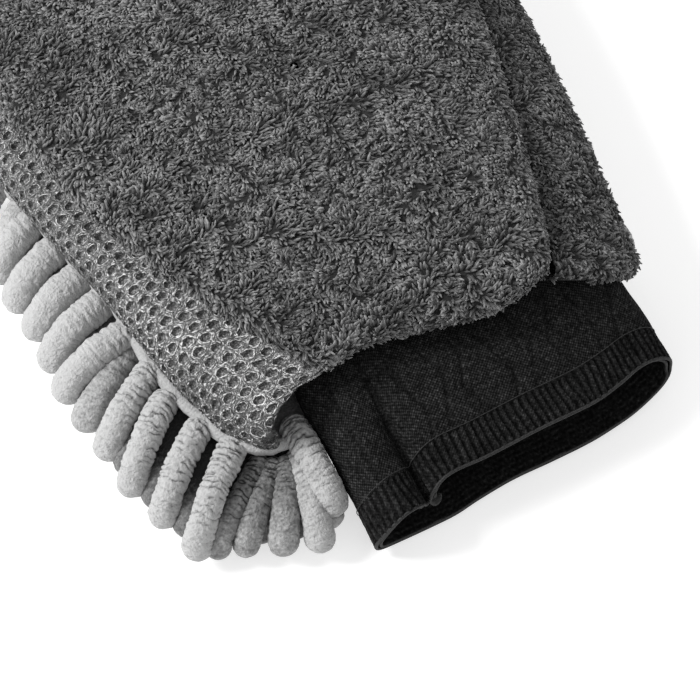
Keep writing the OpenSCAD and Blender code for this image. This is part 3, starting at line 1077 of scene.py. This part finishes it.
def cuff_grid(inset, rows, columns):
    """Rows from the root to the rim, columns round the cuff, an inset inside it.

    Also gives the normals and the distances round the cuff and back from the rim."""
    rim, round_rim = loop(RIM, columns)
    root, _ = loop([(x, 8, z) for x, z in ROOT], columns)
    v = np.linspace(0, 1, rows)[:, None, None]
    grid = root[None] * (1 - v) + rim[None] * v
    top = np.clip((grid[..., 2:] - grid[..., 2:].mean(1, keepdims=True)) / 8, -1, 1)
    grid = grid + UP * np.sin(np.pi * v) * 1.2 * top
    n = grid_normals(grid, True)
    grid = grid - inset * n
    around = np.linspace(0, round_rim, columns, endpoint=False)
    around = np.broadcast_to(around, grid.shape[:2])
    back = np.linalg.norm(rim - root, axis=-1)[None] * (1 - v[..., 0])
    return grid, n, around, back


def zigzag(t):
    """A wave of straight strokes between -1 and 1."""
    return np.abs((t % 1) * 4 - 2) - 1


def cuff_relief(grid, around, back):
    """Height of the knit's folds and ribs, the painted shade of their grooves, and where stitches
    show.
    """
    hem = 1 - step(back, HEM_W - 0.6, HEM_W + 0.2)
    x = grid[..., 0]
    rib = around / 2.35 + 0.35 * noise(np.stack([around / 7, back / 9, 0 * back], -1), 1, 61)
    rib = np.abs(rib - np.floor(rib) - 0.5) * 2
    ribs = step(rib, 0.2, 0.65)
    folds = np.zeros_like(back)
    marks = np.zeros_like(back)
    for x0, swing, bends, depth in FOLDS:
        off = x - x0 - swing * zigzag(back / 40 * bends + x0 * 0.07)
        lane = np.exp(-((off / 0.8) ** 2))
        folds += depth * lane * (1 - 0.7 * hem)
        marks += np.minimum(1, depth) * np.exp(-((off / 1.0) ** 2)) * (1 - hem)
    soft = noise(grid, 9, 62) * 0.5 + noise(grid, 4, 63) * 0.22
    beads = np.cos(back * 2 * np.pi / 0.95) * np.cos(around * 2 * np.pi / 0.78)
    height = hem * ((ribs - 0.6) * 0.45 + 0.12 * beads) - folds + soft * (1 - 0.6 * hem)
    height += (1 - hem) * 0.07 * beads
    # Painted shade: the grooves between the hem's ribs and the lanes of the folds are darkened.
    dark = hem * ((1 - ribs) * 0.24 - 0.03) + marks * 0.12 - 0.12 * hem * ribs * beads
    return height, dark, 1 - 0.6 * np.clip(marks, 0, 1) - 0.6 * hem


def ring_cord(path, normals, radius, sides):
    """A closed cord along a loop of points. Its radius may differ from point to point."""
    ring = circles(unit(np.roll(path, -1, 0) - np.roll(path, 1, 0)), normals, sides)
    radius = np.broadcast_to(radius, (len(path),))[:, None, None]
    grid = path[:, None] + radius * ring
    return np.concatenate([grid, grid[:1]])


def seam_tail():
    """The end of the side seam's allowance, which curls into the opening at the notch."""
    path = bow(np.array([-29.9, -36.3, 15.0]), np.array([-25.6, -36.0, 13.4]),
               np.array([0.2, -0.2, -4.6]), np.array([-0.2, -0.3, -3.4]), 28)
    axis = unit(np.array([0, 0.95, 0.32]))
    way = unit(np.gradient(path, axis=0))
    side = unit(np.cross(way, axis))
    a = turns(14)[None, :, None]
    size = np.sin(np.linspace(0.5, math.pi - 0.1, len(path)))[:, None, None] ** 0.5
    ring = size * (0.62 * np.cos(a) * side[:, None] - 1.8 * np.sin(a) * axis)
    return path[:, None] + 1.3 * axis + ring


def cuff_ply(name, skin, around, back, shade, stitched, finish):
    """One ply of the cuff's knit."""
    values = {"shade": shade, "around": around, "along": back, "stitched": stitched}
    return piece(name, skin, grid_faces(*skin.shape[:2], True), finish, values)


def cuff_outside(finish):
    """The outer ply, with its folds and its ribbed hem."""
    grid, n, around, back = cuff_grid(0, 120, 1000)
    height, dark, stitched = cuff_relief(grid, around, back)
    # dark is the painted shade of the folds and the rib grooves.
    shade = 0.3 + 0.06 * noise(grid, 2.5, 64) - dark
    skin = grid + height[..., None] * n
    return cuff_ply("cuff_outer", skin, around, back, shade, stitched, finish)


def cuff_inside(finish):
    """The inner ply, with rows of knit round the opening."""
    grid, n, around, back = cuff_grid(CUFF_T, 110, 500)
    lines = np.cos(back * 2 * np.pi / 1.7)
    shade = 0.15 + 0.1 * lines + 0.05 * noise(grid, 2.0, 65)
    skin = grid + (0.05 * lines + 0.3 * noise(grid, 7, 66))[..., None] * n
    sides = (x[:, ::-1] for x in (skin, around, back, shade, np.zeros_like(back)))
    return cuff_ply("cuff_inner", *sides, finish)


def build_cuff(finish, edge_finish):
    """Both plies of the cuff, the cords of its rim and the stitches of its hem."""
    outer = cuff_outside(finish)
    inner = cuff_inside(finish)
    cords = []
    for inset, ahead, radius in ((0.2, 0, 0.5), (1.75, 0.2, 0.55)):
        rim, n, _, _ = cuff_grid(inset, 60, 900)
        cords.append((ring_cord(rim[-1] + [0, ahead, 0], n[-1], radius, 8), 0.8))
    edge = bundle("cuff_rim", edge_finish, [*cords, (seam_tail(), 0.8)])
    grid, n, around, back = cuff_grid(-0.35, 220, 900)
    row = int(np.argmin(np.abs(back.mean(1) - HEM_W)))
    beat = 0.08 + 0.08 * np.abs(np.sin(around[row] * np.pi / 1.9)) ** 0.5
    cord = ring_cord(grid[row], n[row], beat, 6)
    stitch = bundle("cuff_hem_stitches", edge_finish, [(cord, 0.8)])
    for obj in (outer, inner, edge, stitch):
        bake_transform(obj)
    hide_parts("cuff_outer_ply")
    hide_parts("cuff_inner_ply", "cuff_elastic_band", "cuff_side_seam")
    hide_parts("cuff_rim_edge")
    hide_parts("cuff_hem_stitching")


# ---- floor, light and camera ----


def build_floor():
    """A plain pale floor that glows, so that shadows on it stay faint."""
    made, _, shader = new_material("floor", 0.6, 0.8)
    set_inputs(shader, {"Emission Color": grey(1), "Emission Strength": 0.6})
    mesh = bpy.data.meshes.new("floor")
    corners = [(x, y, -0.0002) for x, y in ((-3, -3), (3, -3), (3, 3), (-3, 3))]
    mesh.from_pydata(corners, [], [(0, 1, 2, 3)])
    mesh.materials.append(made)
    obj = bpy.data.objects.new("floor", mesh)
    bpy.context.scene.collection.objects.link(obj)


def put(name, data, place, way):
    """An object that holds a light or a camera, placed and turned to look along way."""
    obj = bpy.data.objects.new(name, data)
    obj.location = place
    obj.rotation_euler = Vector(way).to_track_quat("-Z", "Y").to_euler()
    bpy.context.scene.collection.objects.link(obj)
    return obj


def build_light():
    """Even white light from all round, and a soft key light from behind at the left."""
    world = bpy.data.worlds.new("studio")
    bpy.context.scene.world = world
    world.use_nodes = True
    set_inputs(world.node_tree.nodes["Background"], {"Color": grey(1), "Strength": 0.62})
    bpy.context.scene.view_settings.view_transform = "Standard"
    key = bpy.data.lights.new("key", "AREA")
    key.size = 0.6
    key.energy = 38
    place = np.array([-1.2, 0.7, 1.2])
    put("key", key, place, -place)


def build_camera():
    """A long lens that looks at the front of the mitt from above and from the left."""
    data = bpy.data.cameras.new("camera")
    data.lens = 139.0
    data.sensor_width = 36
    data.clip_start = 0.01
    azimuth = math.radians(-30.4)
    height = math.radians(57.744)
    back = np.array([
        math.sin(azimuth) * math.cos(height),
        -math.cos(azimuth) * math.cos(height),
        math.sin(height),
    ])
    aim = np.array([-25.58, 16.08, 20.0]) * 0.001 + ORIGIN
    distance = 0.7883
    bpy.context.scene.camera = put("camera", data, aim + back * distance, -back)


def find_origin():
    """Where x = y = z = 0 of this script lies in the frame, in metres."""
    lo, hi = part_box("cuff_rim_edge")
    return np.array([(lo.x + hi.x) / 2, lo.y + 0.040, 0.0])


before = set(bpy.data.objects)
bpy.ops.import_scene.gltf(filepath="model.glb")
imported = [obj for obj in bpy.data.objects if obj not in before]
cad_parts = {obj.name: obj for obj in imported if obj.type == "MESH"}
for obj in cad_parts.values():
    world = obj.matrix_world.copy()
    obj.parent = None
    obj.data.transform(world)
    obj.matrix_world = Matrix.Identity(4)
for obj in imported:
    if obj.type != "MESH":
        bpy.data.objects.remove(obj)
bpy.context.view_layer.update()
ORIGIN = find_origin()
fleece = fleece_finish()
build_top(fleece)
build_fleece_side(fleece)
build_mesh_side(mesh_finish(), filament_finish())
chenille = chenille_finish()
strands = build_chenille(chenille)
build_base_cloth(chenille)
build_cuff(knit_finish(), edge_finish())
lining = cloth_finish("lining", 0.012, 1500)
build_lining("back_lining", lining, EDGE_Z - POCKET_Z - 2.1, 3.5, 71)
build_lining("palm_lining", lining, CLOTH_TOP - POCKET_Z + 1.4, 6, 74)
thread = cloth_finish("seam_thread", 0.02, 2500)
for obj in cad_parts.values():
    obj.data.materials.clear()
    obj.data.materials.append(thread)
build_floor()
build_light()
build_camera()
